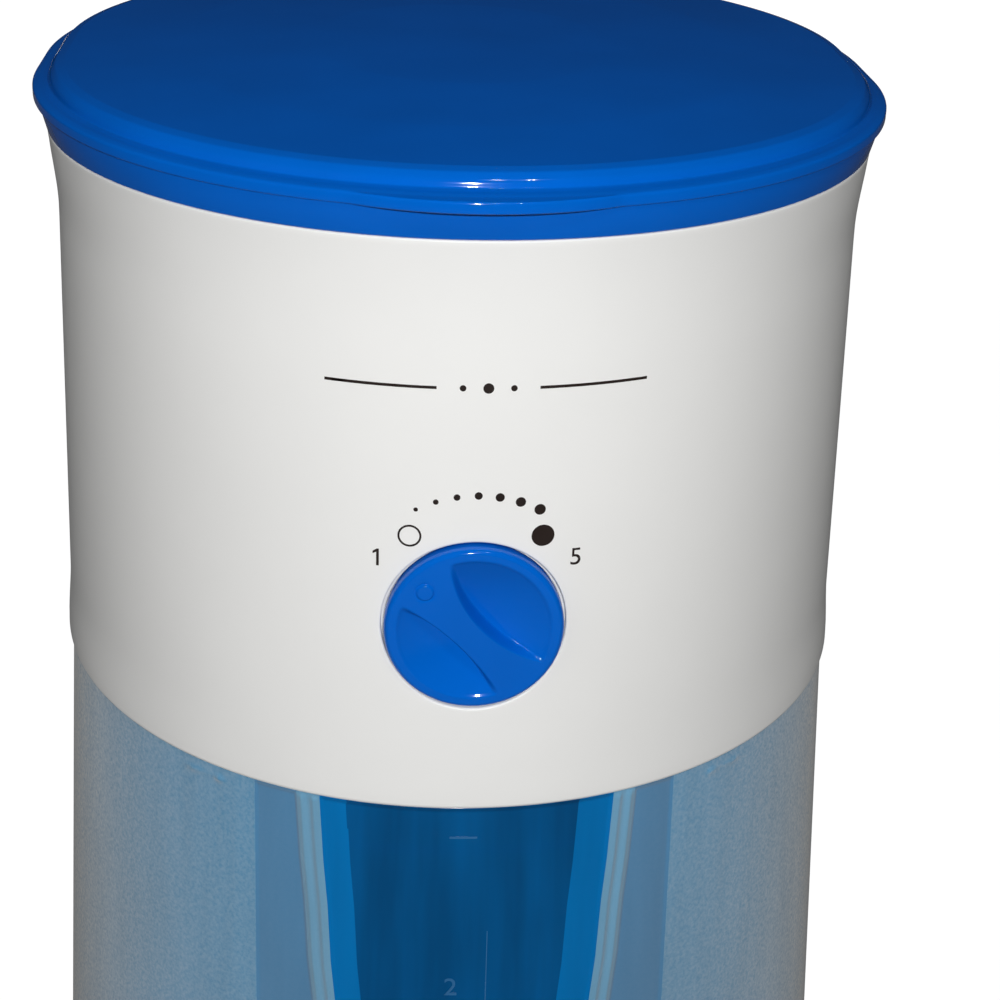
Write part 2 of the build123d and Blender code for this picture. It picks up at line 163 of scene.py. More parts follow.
def tube_solid(center, axis, prof, n=64):
    """Solid of revolution: prof is (radius, distance along axis); axis is 'x', 'y' or 'z'."""
    t = np.linspace(0, 2 * math.pi, n, endpoint=False)
    prof = np.asarray(prof, float)
    c, s = np.cos(t), np.sin(t)
    rr = prof[:, 0][:, None]
    dd = np.repeat(prof[:, 1][:, None], n, 1)
    u, w = rr * c[None, :], rr * s[None, :]
    xyz = {"x": (dd, u, w), "y": (u, dd, w), "z": (u, w, dd)}[axis]
    v = np.stack(xyz, -1).reshape(-1, 3) + np.array(center, float)
    return v, n


def revolve(center, axis, prof, n=64, closed=False):
    v, n = tube_solid(center, axis, prof, n)
    rows = len(prof)
    f = grid_faces(rows, n, True, closed)
    if not closed:
        f.append(tuple(range(n))); f.append(tuple(range((rows - 1) * n, rows * n)))
    return v, f


def rbox(x0, x1, y0, y1, z0, z1, r=1.0, seg=3, steps=(1, 1, 1)):
    """Box with rounded edges."""
    bm = bmesh.new()
    bmesh.ops.create_cube(bm, size=1.0)
    for v in bm.verts:
        v.co = Vector(((x0 + x1) / 2 + v.co.x * (x1 - x0), (y0 + y1) / 2 + v.co.y * (y1 - y0), (z0 + z1) / 2 + v.co.z * (z1 - z0)))
    bmesh.ops.bevel(bm, geom=bm.edges[:], offset=r, segments=seg, profile=0.5, affect="EDGES")
    v = np.array([q.co[:] for q in bm.verts]); bm.verts.index_update()
    f = [tuple(q.index for q in p.verts) for p in bm.faces]
    bm.free()
    return v, f


def boolean(ob, cutter, op="DIFFERENCE"):
    m = ob.modifiers.new("b", "BOOLEAN"); m.object = cutter; m.operation = op; m.solver = "EXACT"
    dg = bpy.context.evaluated_depsgraph_get(); dg.update()
    me = bpy.data.meshes.new_from_object(ob.evaluated_get(dg))
    ob.modifiers.clear()
    old = ob.data; ob.data = me; bpy.data.meshes.remove(old)
    bpy.data.objects.remove(cutter)
    return ob


def put(ob, body, nodes=()):
    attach(ob, body)
    if nodes:
        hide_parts(*nodes)
    return ob


# ------------------------------------------------------------------- materials
def tree(name):
    m = bpy.data.materials.new(name); m.use_nodes = True
    nt = m.node_tree; nt.nodes.clear()
    return m, nt, nt.nodes, nt.links


def noise(nt, scale, detail=3.0, rough=0.5, coord=None, dims="3D"):
    n = nt.nodes.new("ShaderNodeTexNoise")
    n.inputs["Scale"].default_value = scale
    n.inputs["Detail"].default_value = detail
    n.inputs["Roughness"].default_value = rough
    nt.links.new(coord, n.inputs["Vector"])
    return n


def ramp(nt, src, lo, hi, c0, c1):
    r = nt.nodes.new("ShaderNodeValToRGB")
    r.color_ramp.elements[0].position = lo; r.color_ramp.elements[1].position = hi
    r.color_ramp.elements[0].color = (*c0, 1); r.color_ramp.elements[1].color = (*c1, 1)
    nt.links.new(src, r.inputs["Fac"])
    return r


def remap(nt, src, a, b, c, d):
    r = nt.nodes.new("ShaderNodeMapRange")
    for k, x in zip(("From Min", "From Max", "To Min", "To Max"), (a, b, c, d)):
        r.inputs[k].default_value = x
    nt.links.new(src, r.inputs["Value"])
    return r


def plastic(name, col, vary=0.04, rough=(0.25, 0.35), spec=0.5, grain=2500.0, bump=0.02, dist=0.00003, metal=0.0, blotch=28.0, coat=0.0, stretch=None):
    m, nt, N, L = tree(name)
    out = N.new("ShaderNodeOutputMaterial"); b = N.new("ShaderNodeBsdfPrincipled")
    L.new(b.outputs[0], out.inputs["Surface"])
    tc = N.new("ShaderNodeTexCoord").outputs["Object"]
    if stretch:
        mp = N.new("ShaderNodeMapping"); mp.inputs["Scale"].default_value = stretch
        L.new(tc, mp.inputs["Vector"]); tc = mp.outputs[0]
    big = noise(nt, blotch, 3.0, 0.55, tc)
    c0 = tuple(max(0.0, c * (1 - vary)) for c in col); c1 = tuple(min(1.0, c * (1 + vary)) for c in col)
    L.new(ramp(nt, big.outputs["Fac"], 0.3, 0.7, c0, c1).outputs["Color"], b.inputs["Base Color"])
    mid = noise(nt, blotch * 9, 4.0, 0.6, tc)
    L.new(remap(nt, mid.outputs["Fac"], 0.3, 0.7, rough[0], rough[1]).outputs[0], b.inputs["Roughness"])
    fine = noise(nt, grain, 2.0, 0.6, tc)
    bp = N.new("ShaderNodeBump"); bp.inputs["Strength"].default_value = bump; bp.inputs["Distance"].default_value = dist
    L.new(fine.outputs["Fac"], bp.inputs["Height"]); L.new(bp.outputs[0], b.inputs["Normal"])
    b.inputs["Metallic"].default_value = metal
    b.inputs["Specular IOR Level"].default_value = spec
    b.inputs["Coat Weight"].default_value = coat
    b.inputs["Coat Roughness"].default_value = 0.08
    return m


M_BLUE = plastic("blue_gloss", (0.0003, 0.119, 0.57), vary=0.05, rough=(0.055, 0.09), spec=0.35, bump=0.02, grain=700.0, dist=0.00002)
M_BLUE_T = plastic("blue_tower", (0.0006, 0.118, 0.56), vary=0.05, rough=(0.3, 0.42), spec=0.3, bump=0.08, grain=1400.0, dist=0.00003)
M_WHITE = plastic("white_satin", (0.835, 0.832, 0.815), vary=0.012, rough=(0.4, 0.5), spec=0.35, bump=0.12, grain=1700.0, dist=0.00004)
M_TANK = plastic("tank_satin", (0.72, 0.72, 0.70), vary=0.03, rough=(0.35, 0.5), bump=0.06)
M_BASKET = plastic("basket_satin", (0.75, 0.76, 0.75), vary=0.03, rough=(0.3, 0.45), bump=0.05)
M_STEEL = plastic("steel_brushed", (0.62, 0.62, 0.61), vary=0.06, rough=(0.2, 0.38), metal=1.0, bump=0.08, stretch=(1, 1, 9), grain=700.0)
M_ALU = plastic("aluminium_cast", (0.6, 0.6, 0.61), vary=0.1, rough=(0.4, 0.62), metal=1.0, bump=0.35, grain=500.0, dist=0.0001)
M_SIL = plastic("silicone_matt", (0.62, 0.58, 0.52), vary=0.05, rough=(0.45, 0.6), bump=0.08)
M_RUB = plastic("rubber_matt", (0.03, 0.03, 0.032), vary=0.2, rough=(0.65, 0.85), spec=0.3, bump=0.25, grain=1100.0, dist=0.00006)
M_DARK = plastic("dark_matt", (0.035, 0.035, 0.038), vary=0.15, rough=(0.4, 0.55), bump=0.1)
M_LENS = plastic("lens_amber", (0.75, 0.22, 0.03), vary=0.08, rough=(0.08, 0.14), spec=0.6, bump=0.01, coat=0.5)
M_INK = plastic("print_ink", (0.018, 0.011, 0.009), vary=0.25, rough=(0.4, 0.5), spec=0.3, bump=0.05, grain=3000.0)


def tinted(name, base, share, tint, frost, rough, grain=0.15, bump=0.3, streak=0.06, ior=1.4):
    """Tinted moulded plastic that lets some light through. frost = (a, b, c): how much of a pale scattering
    skin shows, head on and growing towards grazing angles as a frosted skin's sheen does."""
    m, nt, N, L = tree(name)
    out = N.new("ShaderNodeOutputMaterial")
    tc = N.new("ShaderNodeTexCoord").outputs["Object"]
    mp = N.new("ShaderNodeMapping"); mp.inputs["Scale"].default_value = (1, 1, 0.08)
    L.new(tc, mp.inputs["Vector"])

    def calc(op, a, b, clampit=False):
        q = N.new("ShaderNodeMath"); q.operation = op; q.use_clamp = clampit
        for k, v in enumerate((a, b)):
            if isinstance(v, (int, float)): q.inputs[k].default_value = v
            else: L.new(v, q.inputs[k])
        return q.outputs[0]

    fine = noise(nt, 1300.0, 2.0, 0.65, tc).outputs["Fac"]
    long_ = noise(nt, 110.0, 3.0, 0.6, mp.outputs[0]).outputs["Fac"]
    soft = noise(nt, 20.0, 2.0, 0.5, tc).outputs["Fac"]
    b = N.new("ShaderNodeBsdfPrincipled")
    c0 = tuple(c * (1 - streak) for c in base); c1 = tuple(c * (1 + streak) for c in base)
    mixn = calc("ADD", calc("MULTIPLY", long_, 0.65), calc("MULTIPLY", soft, 0.35))
    L.new(ramp(nt, mixn, 0.38, 0.62, c0, c1).outputs["Color"], b.inputs["Base Color"])
    b.inputs["IOR"].default_value = ior
    b.inputs["Specular IOR Level"].default_value = 0.45
    L.new(remap(nt, soft, 0.3, 0.7, rough * 0.85, rough * 1.15).outputs[0], b.inputs["Roughness"])
    bp = N.new("ShaderNodeBump"); bp.inputs["Strength"].default_value = bump; bp.inputs["Distance"].default_value = 0.00005
    L.new(fine, bp.inputs["Height"]); L.new(bp.outputs[0], b.inputs["Normal"])
    tr = N.new("ShaderNodeBsdfTransparent"); tr.inputs["Color"].default_value = (*tint, 1)
    m1 = N.new("ShaderNodeMixShader"); m1.inputs[0].default_value = share
    L.new(b.outputs[0], m1.inputs[1]); L.new(tr.outputs[0], m1.inputs[2])
    last = m1.outputs[0]
    if any(frost):
        lw = N.new("ShaderNodeLayerWeight"); lw.inputs["Blend"].default_value = 0.5
        fc = lw.outputs["Facing"]
        cube = calc("MULTIPLY", calc("MULTIPLY", fc, fc), fc)
        w = calc("ADD", calc("ADD", calc("MULTIPLY", fc, frost[1]), calc("MULTIPLY", cube, frost[2])), frost[0])
        w = calc("MULTIPLY", w, remap(nt, fine, 0.3, 0.7, 1 - grain, 1 + grain).outputs[0])
        w = calc("MULTIPLY", w, remap(nt, long_, 0.3, 0.7, 1 - streak, 1 + streak).outputs[0], True)
        sk = N.new("ShaderNodeBsdfDiffuse"); sk.inputs["Color"].default_value = (0.84, 0.845, 0.83, 1)
        L.new(bp.outputs[0], sk.inputs["Normal"])
        m2 = N.new("ShaderNodeMixShader")
        L.new(w, m2.inputs[0]); L.new(last, m2.inputs[1]); L.new(sk.outputs[0], m2.inputs[2])
        last = m2.outputs[0]
    L.new(last, out.inputs["Surface"])
    return m


M_FROST = tinted("pitcher_frost", (0.014, 0.245, 0.475), 0.12, (0.1, 0.5, 0.7), (0.088, 0.23, 0.85), 0.5, grain=0.3)
M_BAND = tinted("pitcher_band", (0.008, 0.195, 0.42), 0.16, (0.08, 0.45, 0.68), (0.068, 0.1, 0.5), 0.22, grain=0.05, bump=0.06)
M_RIB = tinted("pitcher_rib", (0.025, 0.262, 0.47), 0.12, (0.1, 0.5, 0.7), (0.13, 0.12, 0.4), 0.28, grain=0.04, bump=0.05)
M_WIN = tinted("pitcher_window", (0.0004, 0.098, 0.292), 0.22, (0.01, 0.3, 0.55), (0, 0, 0), 0.12, bump=0.02, streak=0.2)
# painted highlight: the window's edge strips get a brighter blue standing in for light refracted through the bevelled
# edge
M_EDGE_PAINTED = tinted("pitcher_window_edge_painted_highlight", (0.0005, 0.188, 0.53), 0.18, (0.01, 0.35, 0.6), (0, 0, 0), 0.12, bump=0.02, streak=0.08)
M_MARK = tinted("pitcher_mark", (0.004, 0.14, 0.36), 0.2, (0.01, 0.35, 0.6), (0.03, 0, 0), 0.3, bump=0.02)
M_IN = tinted("pitcher_inside", (0.01, 0.13, 0.28), 0.25, (0.05, 0.4, 0.62), (0.05, 0.1, 0.3), 0.35, grain=0.05, bump=0.1)

# ---------------------------------------------------------------------- camera
f_px, cd, ch = 1951.51, 422.97, 378.37
th, psi, rho, phi = (math.radians(q) for q in (25.755, 1.617, 2.042, 3.05))
fw = np.array([math.sin(psi) * math.cos(th), math.cos(psi) * math.cos(th), -math.sin(th)])
rt = np.array([math.cos(psi), -math.sin(psi), 0.0])
up = np.cross(rt, fw)
r2, u2 = rt * math.cos(rho) + up * math.sin(rho), -rt * math.sin(rho) + up * math.cos(rho)


def turn(v):
    return Vector((v[0] * math.cos(phi) + v[1] * math.sin(phi), -v[0] * math.sin(phi) + v[1] * math.cos(phi), v[2]))


cam_data = bpy.data.cameras.new("camera")
cam = bpy.data.objects.new("camera", cam_data)
bpy.context.scene.collection.objects.link(cam)
R2, U2, FW = turn(r2), turn(u2), turn(fw)
CAM = turn((0, -cd, ch)) * MM
cam.matrix_world = Matrix(((R2.x, U2.x, -FW.x, CAM.x), (R2.y, U2.y, -FW.y, CAM.y), (R2.z, U2.z, -FW.z, CAM.z), (0, 0, 0, 1)))
cam_data.sensor_width = 36.0
cam_data.lens = f_px / 1000 * 36.0
cam_data.clip_start, cam_data.clip_end = 0.01, 50.0
bpy.context.scene.camera = cam

# ------------------------------------------------------------------------- lid
ZL = Z_LID
lid_prof = fillet([
    (0.02, ZL + 5.6), (30, ZL + 5.4, 20), (60, ZL + 4.7, 20), (82.0, ZL + 3.7, 0.6), (83.0, ZL + 3.3, 0.3), (83.0, ZL - 2.2, 0.3), (84.6, ZL - 2.2, 0.5),
    (84.6, ZL + 1.9, 0.3), (85.9, ZL + 1.5, 0.3), (86.2, ZL + 0.02, 0.3), (R_LIP, ZL + 0.02, 0.3), (R_LIP, ZL + 2.25, 0.7), (R_LIP - 1.3, ZL + 2.62, 0.4),
    (87.5, ZL + 2.75, 1.0), (86.45, ZL + 3.05, 0.5), (86.1, ZL + 4.35, 3.0), (84.9, ZL + 5.6, 1.2), (82.9, ZL + 6.1, 2.0), (60.0, ZL + 7.0, 40), (30.0, ZL + 7.7, 30), (0.02, ZL + 7.9)], n=6)
lid_prof = dense(lid_prof, 3.0)


def tab_warp(r, z, a, yo):
    front = (yo < 0)
    x = r * np.cos(a)
    yl = -(H + R_LIP + 2.4) + 53.6 - np.sqrt(np.clip(53.6 ** 2 - x ** 2, 1, None))
    y = yo + r * np.sin(a)
    w = np.where(front & (np.abs(x) < 26), np.clip(-(H + np.sqrt(np.clip(R_LIP ** 2 - x ** 2, 1, None))) - (yl), 0, None), 0)
    w = -w
    # lens depth beyond the lip, in mm
    depth = np.where(front & (np.abs(x) < 26), np.clip(-yl - (H + np.sqrt(np.clip(R_LIP ** 2 - x ** 2, 1, None))), 0, None), 0)
    on = (r > R_LIP - 0.62) & (z < Z_LID + 2.32) & (z > Z_LID - 0.1)
    return r + np.where(on, depth, 0), z


# rows for the tab: its top edge needs its own small ledge
i_top = max(k for k, (r, z) in enumerate(lid_prof) if r > R_LIP - 0.01 and z < ZL + 2.2)
lid_v, lid_f = sweep(lid_prof, 480, False, tab_warp)
kn_prof = [(1.56, -17.7), (3.6, -17.7), (4.0, -17.3), (4.0, 17.3), (3.6, 17.7), (1.56, 17.7)]
LID = make("lid_shell", lid_v, lid_f, 30)
kv = merge(revolve((0, HINGE_Y, HINGE_Z), "x", kn_prof, 48, closed=True))
LEAF = make("lid_knuckle", *merge(kv, rbox(-17.4, 17.4, 95.0, 99.6, ZL + 0.15, ZL + 2.2, 0.5)), angle=35)
for o in (LID, LEAF):
    o.data.materials.append(M_BLUE)
put(LID, "lid", ["lid"])
put(LEAF, "lid", ())

# ---------------------------------------------------------------------- collar
col_prof = fillet([(79.0, 276.2), (79.0, 261.2, 0.3), (80.2, 261.2, 0.3), (82.0, 271.0), (83.9, 270.2), (83.9, 270.32), (87.0, 270.33, 0.2), (87.45, 270.6, 0.3), (88.95, 276.46, 0.12),
                   (88.0, 276.46, 0.2), (85.3, 276.2, 0.3), (85.0, 274.0, 0.2), (82.5, 274.0, 0.2), (82.5, 276.2, 0.3), (79.0, 276.2)], n=3)[:-1]
cv = [sweep(col_prof, 360, True)]
for sx in (-1, 1):
    prof = [(1.52, -3.0), (3.9, -3.0), (4.3, -2.6), (4.3, 2.6), (3.9, 3.0), (1.52, 3.0)]
    cv.append(revolve((sx * 21, HINGE_Y, HINGE_Z), "x", prof, 40, closed=True))
    cv.append(rbox(sx * 21 - 2.9, sx * 21 + 2.9, 92.0, 99.0, HINGE_Z - 4.2, HINGE_Z + 0.2, 0.5))
ring_ = cv[0][0]; near = (np.abs(ring_[:, 0]) < 18.6) & (ring_[:, 1] > 95.0)
ring_[near, 1] = np.minimum(ring_[near, 1], 95.4)
COLLAR = make("collar_band", *merge(*cv), angle=35, mats=[M_BLUE])
put(COLLAR, "chassis", ["collar_ring"])


# --------------------------------------------------------------- brew housing
def house_pt(x, z, off=0.0):
    """Point on the front of the housing's wall at x, z, moved out by off."""
    x, z = np.asarray(x, float), np.asarray(z, float)
    r = r_house(z) + off
    return np.stack([x, -H - np.sqrt(np.clip(r * r - x * x, 0, None)), z], -1)


def holed_wall(zs, n, rad_of, hole_r, fil, cols_half, rows_lo, rows_hi, rings, ymin=None):
    """Closed-round wall grid with a round hole at the dial; returns vertices, faces, the hole's last ring, its angles,
    columns, rows and ring length.
    """
    a, yo = columns(n)
    cols, rows = len(a), len(zs)
    R = np.repeat(rad_of(zs)[:, None], cols, 1)
    x = R * np.cos(a)[None, :]; y = yo[None, :] + R * np.sin(a)[None, :]
    Z = np.repeat(np.asarray(zs)[:, None], cols, 1)
    v = list(np.stack([x, y, Z], -1).reshape(-1, 3))
    c0 = n // 2 + 1 + n // 4                                # column at the very front
    i0, i1 = c0 - cols_half, c0 + cols_half
    j0, j1 = rows_lo, rows_hi
    f = []
    for j in range(rows - 1):
        for i in range(cols):
            if j0 <= j < j1 and i0 <= i < i1:
                continue
            i2 = (i + 1) % cols
            f.append((j * cols + i, j * cols + i2, (j + 1) * cols + i2, (j + 1) * cols + i))
    bound = [(j0, i) for i in range(i0, i1)] + [(j, i1) for j in range(j0, j1)] + [(j1, i) for i in range(i1, i0, -1)] + [(j, i0) for j in range(j1, j0, -1)]
    bp = np.array([[a[i], zs[j]] for j, i in bound])        # parameter space: angle, z
    # direction of each boundary point seen from the dial's middle
    bx = np.array([rad_of(np.array([zs[j]]))[0] * math.cos(a[i]) for j, i in bound]); bz = np.array([zs[j] - KNOB_Z for j, i in bound])
    ang = np.arctan2(bz, bx)
    prev = [j * cols + i for j, i in bound]
    m = len(bound)
    outer = hole_r + fil
    for t in rings:
        # from boundary (t=0) to the fillet's outer circle (t=1)
        cx, cz = outer * np.cos(ang), outer * np.sin(ang)
        px, pz = bx * (1 - t) + cx * t, bz * (1 - t) + cz * t
        zz = pz + KNOB_Z
        rr = rad_of(zz)
        pts = np.stack([px, -H - np.sqrt(rr ** 2 - px ** 2), zz], -1)
        base = len(v); v += list(pts)
        cur = list(range(base, base + m))
        for k in range(m):
            f.append((prev[k], prev[(k + 1) % m], cur[(k + 1) % m], cur[k]))
        prev = cur
    if fil > 0:
        for k in range(1, 8):
            w = math.pi / 2 * k / 7
            rad = hole_r + fil * (1 - math.sin(w)); dep = fil * (1 - math.cos(w))
            px, pz = rad * np.cos(ang), rad * np.sin(ang)
            zz = pz + KNOB_Z; rr = rad_of(zz)
            pts = np.stack([px, -H - np.sqrt(rr ** 2 - px ** 2) + dep, zz], -1)
            base = len(v); v += list(pts); cur = list(range(base, base + m))
            for q in range(m):
                f.append((prev[q], prev[(q + 1) % m], cur[(q + 1) % m], cur[q]))
            prev = cur
    return v, f, prev, ang, cols, rows, m


def ring_to(v, f, prev, ang, rad, y):
    base = len(v); m = len(prev)
    v += list(np.stack([rad * np.cos(ang), np.full(m, float(y)), KNOB_Z + rad * np.sin(ang)], -1))
    cur = list(range(base, base + m))
    for k in range(m):
        f.append((prev[k], prev[(k + 1) % m], cur[(k + 1) % m], cur[k]))
    return cur


NC = 480
zs = np.unique(np.round(np.r_[np.linspace(152.0, 153.0, 6), np.linspace(153, 165, 5), np.linspace(165, 222, 39), np.linspace(222, 248, 8), np.linspace(248, 269.9, 27), [270.1, 270.25, 270.3]], 4))
lo = int(np.argmin(abs(zs - 168.0))); hi = int(np.argmin(abs(zs - 219.0)))


def r_out(z):
    z = np.asarray(z, float)
    low = np.clip((153.0 - z) / 1.0, 0, 1)
    top = np.clip((z - 269.9) / 0.4, 0, 1)
    return r_house(z) - 0.8 * (1 - np.sqrt(1 - low ** 2)) - 0.35 * (1 - np.sqrt(1 - top ** 2))


half_cols = int(round(math.degrees(math.asin(25.5 / 88.6)) / (360 / NC)))
v, f, hole, ang, cols, rows, m = holed_wall(zs, NC, r_out, 17.9, 0.55, half_cols, lo, hi, np.linspace(0.1, 1.0, 10))
c1 = ring_to(v, f, hole, ang, 17.9, -93.1)
c1 = ring_to(v, f, c1, ang, 17.8, -92.75)
c1 = ring_to(v, f, c1, ang, 17.4, -92.6)
c1 = ring_to(v, f, c1, ang, 4.6, -92.6)
c1 = ring_to(v, f, c1, ang, 3.05, -92.6)
bore_front = c1
bottom_out, top_out = [i for i in range(cols)], [(rows - 1) * cols + i for i in range(cols)]
# inner wall
zi = np.unique(np.round(np.r_[np.linspace(162.4, 222, 41), np.linspace(222, 270.3, 14)], 4))


def r_in(z):
    return 90 - 3.5 * (np.asarray(z, float) - 152.8) / 103.2 - 2.4 + 0 * np.asarray(z, float)


lo2 = int(np.argmin(abs(zi - 169.0))); hi2 = int(np.argmin(abs(zi - 218.5)))
v2, f2, hole2, ang2, cols2, rows2, m2 = holed_wall(zi, NC, r_in, 20.4, 0.0, half_cols, lo2, hi2, np.linspace(0.15, 1.0, 6))
off = len(v)
v += v2; f += [tuple(i + off for i in q) for q in f2]
hole2 = [i + off for i in hole2]
bottom_in, top_in = [off + i for i in range(cols)], [off + (rows2 - 1) * cols + i for i in range(cols)]
c2 = ring_to(v, f, hole2, ang2, 20.4, -90.6)
c2 = ring_to(v, f, c2, ang2, 3.05, -90.6)
# the two bore rings have different counts, so each is closed by a fan onto a shared loop of angles
def bore_join(v, f, ra, aa, rb, ab):
    ca, cb = sorted(zip(aa % (2 * math.pi), ra)), sorted(zip(ab % (2 * math.pi), rb))
    i = j = 0; na, nb = len(ca), len(cb)
    while i < na or j < nb:
        A, B = ca[i % na][1], cb[j % nb][1]
        nxa = ca[(i + 1) % na][0] + (2 * math.pi if i + 1 >= na else 0); nxb = cb[(j + 1) % nb][0] + (2 * math.pi if j + 1 >= nb else 0)
        if j >= nb or (i < na and nxa <= nxb):
            f.append((A, ca[(i + 1) % na][1], B)); i += 1
        else:
            f.append((A, cb[(j + 1) % nb][1], B)); j += 1


bore_join(v, f, bore_front, ang, c2, ang2)
# top edge, floor and skirt join outer and inner walls
for i in range(cols):
    i2 = (i + 1) % cols
    f.append((top_out[i], top_out[i2], top_in[i2], top_in[i]))
a_, yo_ = columns(NC)


def ring_z(v, r, z):
    base = len(v); v += list(np.stack([r * np.cos(a_), yo_ + r * np.sin(a_), np.full(len(a_), float(z))], -1))
    return list(range(base, base + len(a_)))


def bridge(f, p, q):
    for i in range(len(p)):
        i2 = (i + 1) % len(p)
        f.append((p[i], p[i2], q[i2], q[i]))


s1 = ring_z(v, 88.3, 152.0); bridge(f, bottom_out, s1)
s2 = ring_z(v, 87.7, 152.3); bridge(f, s1, s2)
s3 = ring_z(v, 87.4, 159.6); bridge(f, s2, s3)
s4 = ring_z(v, 87.0, 160.0); bridge(f, s3, s4)
s5 = ring_z(v, 40.0, 160.0); bridge(f, s4, s5)
s6 = ring_z(v, 0.02, 160.0); bridge(f, s5, s6); f.append(tuple(s6))
t1 = ring_z(v, 40.0, 162.4); bridge(f, bottom_in, t1)
t2 = ring_z(v, 0.02, 162.4); bridge(f, t1, t2); f.append(tuple(t2))
v = np.array(v)
v[:, 0] -= np.sign(v[:, 0]) * 0.65 * smooth((np.abs(v[:, 0]) - 45) / 40) * smooth((v[:, 2] - 153.5) / 14) * smooth((267 - v[:, 2]) / 14)
HOUSE = make("brew_housing", v, f, 40)
cut = []
for (x, y, r) in ((0, -42.5, 12.0), (-40, 55, 6.2), (40, 55, 6.2)):
    cut.append(revolve((x, y, 0), "z", [(r, 150), (r, 172)], 48))
boolean(HOUSE, make("cut", *merge(*cut), angle=0))
HOUSE.data.materials.clear(); HOUSE.data.materials.append(M_WHITE)
HOUSE.data.shade_smooth(); HOUSE.data.set_sharp_from_angle(angle=math.radians(40))
put(HOUSE, "chassis", ["upper_housing"])


# ---------------------------------------------------------------------- prints
def print_piece(name, polys, surf, thick=0.07, mat=None, body="chassis"):
    """polys: closed 2-D outlines with holes as [outer, hole, ...] lists of (x, z); laid on surf(x, z, off)."""
    V, F = [], []
    for loops in polys:
        tri = geometry.tessellate_polygon([[Vector((p[0], p[1], 0)) for p in lp] for lp in loops])
        flat = [p for lp in loops for p in lp]
        b0 = len(V)
        xs, zz = np.array([p[0] for p in flat]), np.array([p[1] for p in flat])
        V += list(surf(xs, zz, thick)); b1 = len(V); V += list(surf(xs, zz, -0.08))
        for t in tri:
            F.append((b0 + t[0], b0 + t[1], b0 + t[2])); F.append((b1 + t[2], b1 + t[1], b1 + t[0]))
        s = 0
        for lp in loops:
            k = len(lp)
            for i in range(k):
                i2 = (i + 1) % k
                F.append((b0 + s + i, b0 + s + i2, b1 + s + i2, b1 + s + i))
            s += k
    ob = make(name, np.array(V), F, 30, mats=[mat or M_INK])
    return put(ob, body)


def circle(cx, cz, r, n=48, squash=1.0):
    return [(cx + r * math.cos(2 * math.pi * k / n), cz + squash * r * math.sin(2 * math.pi * k / n)) for k in range(n)]


def strip(x0, z0, x1, z1, w, seg=2.5):
    n = max(1, int(math.hypot(x1 - x0, z1 - z0) / seg))
    dx, dz = x1 - x0, z1 - z0
    l = math.hypot(dx, dz); nx, nz = -dz / l * w / 2, dx / l * w / 2
    a = [(x0 + dx * k / n + nx, z0 + dz * k / n + nz) for k in range(n + 1)]
    b = [(x0 + dx * k / n - nx, z0 + dz * k / n - nz) for k in range(n + 1)]
    return [[[a[k], b[k], b[k + 1], a[k + 1]]] for k in range(n)]


def digit(ch, cx, cz, size):
    """A plain numeral as outlines (x, z), centred, size mm tall."""
    if ch == "1":
        return [[(cx + (x - 0.17) * size, cz + (z - 0.5) * size) for x, z in ((0.19, 0), (0.34, 0), (0.34, 1), (0.22, 1), (0, 0.84), (0, 0.70), (0.19, 0.81))]]
    cu = bpy.data.curves.new("n", "FONT"); cu.body = ch; cu.size = 1.0; cu.resolution_u = 6; cu.fill_mode = "NONE"
    ob = bpy.data.objects.new("n", cu); bpy.context.scene.collection.objects.link(ob)
    dg = bpy.context.evaluated_depsgraph_get()
    me = bpy.data.meshes.new_from_object(ob.evaluated_get(dg))
    bm = bmesh.new(); bm.from_mesh(me)
    bmesh.ops.remove_doubles(bm, verts=bm.verts, dist=1e-5)
    loops, seen = [], set()
    for v0 in bm.verts:
        if v0.index in seen or len(v0.link_edges) != 2: continue
        lp, v, e = [], v0, v0.link_edges[0]
        while v.index not in seen:
            seen.add(v.index); lp.append((v.co.x, v.co.y))
            v = e.other_vert(v)
            e = [q for q in v.link_edges if q != e][0]
        loops.append(lp)
    bm.free(); bpy.data.objects.remove(ob); bpy.data.meshes.remove(me); bpy.data.curves.remove(cu)
    P = np.array([p for lp in loops for p in lp]); lo_, hi_ = P.min(0), P.max(0)
    k = size / (hi_[1] - lo_[1]); c = (lo_ + hi_) / 2
    loops = [[(cx + (x - c[0]) * k, cz + (z - c[1]) * k) for x, z in lp] for lp in loops]

    def area(lp):
        return abs(sum(a[0] * b[1] - b[0] * a[1] for a, b in zip(lp, lp[1:] + lp[:1])) / 2)
    loops.sort(key=area, reverse=True)
    return loops


open_c = [circle(-12.6, 212.25, 2.25), circle(-12.6, 212.25, 1.87)]
full_c = [circle(12.65, 212.3, 2.2)]
dots = []
for k in range(7):
    w = math.radians(118 - 56 * k / 6)
    rr = 24.9
    dots.append([circle(0.2 + rr * math.cos(w), 194.2 + rr * 1.07 * math.sin(w), 0.42 + 0.11 * k, 28)])
rule = strip(-28.4, 242.2, -8.0, 242.2, 0.55) + strip(11.0, 242.2, 31.3, 242.2, 0.55) + [[circle(1.5, 242.2, 1.0)], [circle(-3.2, 242.2, 0.6)], [circle(6.2, 242.2, 0.6)]]
print_piece("print_open_circle", [open_c], house_pt)
print_piece("print_full_circle", [full_c], house_pt)
print_piece("print_strength_dots", dots, house_pt)
print_piece("print_rule", rule, house_pt)
print_piece("print_number_low", [digit("1", -18.9, 207.3, 3.5)], house_pt)
print_piece("print_number_high", [digit("5", 19.2, 207.3, 3.5)], house_pt)

# ------------------------------------------------------------------------ knob
GU, GL = ((20.0, 17.3), 25.3), ((-42.4, -41.4), 54.9)


